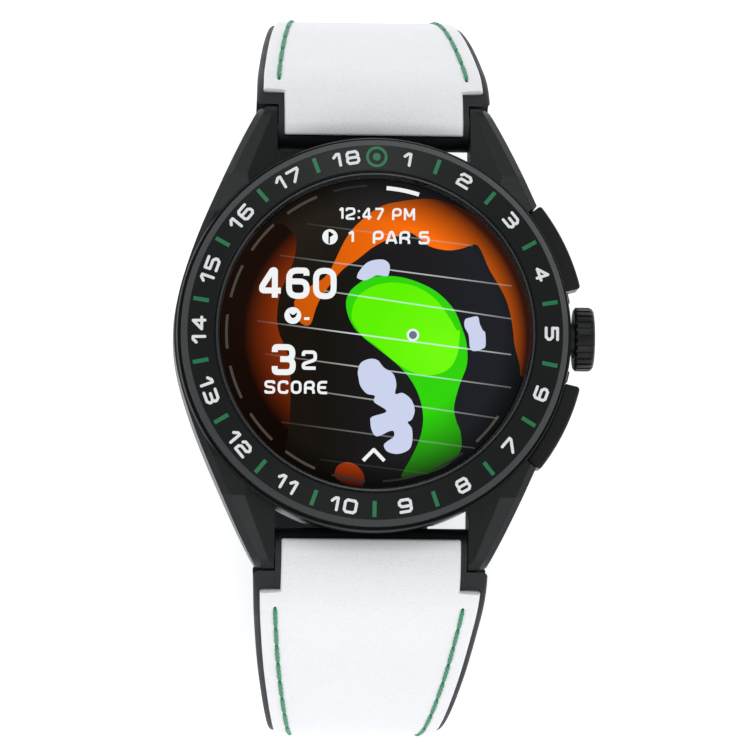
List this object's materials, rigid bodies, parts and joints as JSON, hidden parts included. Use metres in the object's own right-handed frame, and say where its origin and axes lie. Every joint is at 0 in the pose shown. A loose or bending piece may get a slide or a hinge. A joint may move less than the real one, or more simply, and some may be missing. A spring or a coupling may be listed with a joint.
{
  "type": "golf gps watch",
  "caption": "Round golf GPS watch with a numbered bezel, domed crystal, crown, side pushers and a stitched rubber strap closed by a folding clasp.",
  "frame": {"origin": "centre of the case back's flat outer face", "axes": "+Z out of the dial, +Y towards 12 o'clock, +X towards the crown at 3 o'clock"},
  "size_m": [0.0481, 0.0852, 0.0619],
  "materials": {
    "case_black": "black hard-coated metal, satin brushed and bead blasted",
    "bezel_ceramic": "polished black ceramic",
    "numeral_white": "white lacquer filling",
    "marker_green": "green lacquer filling",
    "crystal": "clear sapphire, slightly domed",
    "display": "dark display panel",
    "rubber_black": "matt black rubber",
    "facing_white": "white coated facing with a fine grain",
    "thread_green": "green sewing thread",
    "steel": "bright stainless steel",
    "spring_steel": "spring steel",
    "contact_gold": "gold plated",
    "plastic_black": "black moulded plastic",
    "board_green": "solder-masked circuit board",
    "battery_silver": "foil pouch",
    "gasket": "black elastomer seal",
    "sensor_glass": "dark optical window",
    "flex_amber": "amber film"
  },
  "bodies": {
    "watch_case": {"battery": "battery_silver", "bezel_gasket": "gasket", "bezel_numerals": "numeral_white", "bezel_ring": "bezel_ceramic", "bezel_ticks": "marker_green", "case_back": "case_black", "case_back_gasket": "gasket", "case_back_screws": "steel", "charging_contacts": "contact_gold", "contact_insulators": "plastic_black", "crown_spring": "spring_steel", "crown_switch": "plastic_black", "crown_tube": "case_black", "crystal": "crystal", "crystal_gasket": "gasket", "display_flex": "flex_amber", "display_panel": "display", "gps_antenna": "contact_gold", "haptic_motor_case": "steel", "inner_frame": "plastic_black", "main_board": "board_green", "microphone": "steel", "mid_case": "case_black", "processor_shield": "steel", "pusher_lower_spring": "spring_steel", "pusher_switches": "plastic_black", "pusher_upper_spring": "spring_steel", "sensor_board": "board_green", "sensor_window": "sensor_glass"},
    "crown_press_collar": {"crown_thrust_ring": "steel"},
    "crown": {"crown_cap": "case_black", "crown_stem": "steel", "crown_gasket": "gasket"},
    "pusher_upper": {"pusher_upper": "case_black", "pusher_upper_gasket": "gasket", "pusher_upper_clip": "steel"},
    "pusher_lower": {"pusher_lower": "case_black", "pusher_lower_gasket": "gasket", "pusher_lower_clip": "steel"},
    "haptic_mass": {"haptic_mass": "steel"},
    "upper_strap": {"upper_strap_base": "rubber_black", "upper_strap_facing": "facing_white", "upper_strap_stitching": "thread_green", "upper_spring_bar": "steel", "clasp_base": "case_black", "clasp_bar": "steel", "clasp_hinge_pin": "steel", "clasp_spring": "spring_steel"},
    "upper_release": {"upper_release_lever": "steel"},
    "lower_strap": {"lower_strap_base": "rubber_black", "lower_strap_facing": "facing_white", "lower_strap_stitching": "thread_green", "lower_spring_bar": "steel"},
    "lower_release": {"lower_release_lever": "steel"},
    "clasp_cover": {"clasp_cover": "case_black"},
    "clasp_button_left": {"clasp_button_left": "case_black"},
    "clasp_button_right": {"clasp_button_right": "case_black"}
  },
  "joints": [
    {"name": "lower_strap_swing", "type": "hinge", "parent": "watch_case", "child": "lower_strap", "pos_m": [0, -0.0243, 0.0035], "axis": [-1, 0, 0], "range_deg": [0, 25], "stiffness_Nm_per_rad": 2},
    {"name": "upper_strap_swing", "type": "hinge", "parent": "watch_case", "child": "upper_strap", "pos_m": [0, 0.0243, 0.0035], "axis": [1, 0, 0], "range_deg": [0, 3.8], "stiffness_Nm_per_rad": 2},
    {"name": "clasp_cover_open", "type": "hinge", "parent": "upper_strap", "child": "clasp_cover", "pos_m": [0, 0.0155, -0.0466], "axis": [1, 0, 0], "range_deg": [0, 125.5]},
    {"name": "clasp_button_left_press", "type": "slide", "parent": "upper_strap", "child": "clasp_button_left", "axis": [1, 0, 0], "range_m": [0, 0.0008], "stiffness_N_per_m": 100, "deforming": ["clasp_spring"]},
    {"name": "clasp_button_right_press", "type": "slide", "parent": "upper_strap", "child": "clasp_button_right", "axis": [-1, 0, 0], "range_m": [0, 0.0008], "stiffness_N_per_m": 100},
    {"name": "crown_press", "type": "slide", "parent": "watch_case", "child": "crown_press_collar", "axis": [-1, 0, 0], "range_m": [0, 0.00035], "stiffness_N_per_m": 200, "deforming": ["crown_spring"]},
    {"name": "crown_turn", "type": "hinge", "parent": "crown_press_collar", "child": "crown", "pos_m": [0.0242, 0, 0.006], "axis": [1, 0, 0], "continuous": true},
    {"name": "pusher_upper_press", "type": "slide", "parent": "watch_case", "child": "pusher_upper", "axis": [-0.8988, -0.4384, 0], "range_m": [0, 0.0006], "stiffness_N_per_m": 300, "deforming": ["pusher_upper_spring"]},
    {"name": "pusher_lower_press", "type": "slide", "parent": "watch_case", "child": "pusher_lower", "axis": [-0.8988, 0.4384, 0], "range_m": [0, 0.0006], "stiffness_N_per_m": 300, "deforming": ["pusher_lower_spring"]},
    {"name": "upper_bar_release", "type": "slide", "parent": "upper_strap", "child": "upper_release", "axis": [1, 0, 0], "range_m": [0, 0.0012], "stiffness_N_per_m": 20},
    {"name": "lower_bar_release", "type": "slide", "parent": "lower_strap", "child": "lower_release", "axis": [1, 0, 0], "range_m": [0, 0.0012], "stiffness_N_per_m": 20},
    {"name": "haptic_mass_travel", "type": "slide", "parent": "watch_case", "child": "haptic_mass", "axis": [1, 0, 0], "range_m": [-0.0003, 0.0003], "stiffness_N_per_m": 200}
  ],
  "couplings": [
    {"joint": "upper_strap_swing", "follows": "lower_strap_swing", "ratio": 0.15},
    {"joint": "clasp_cover_open", "follows": "lower_strap_swing", "ratio": 5}
  ]
}
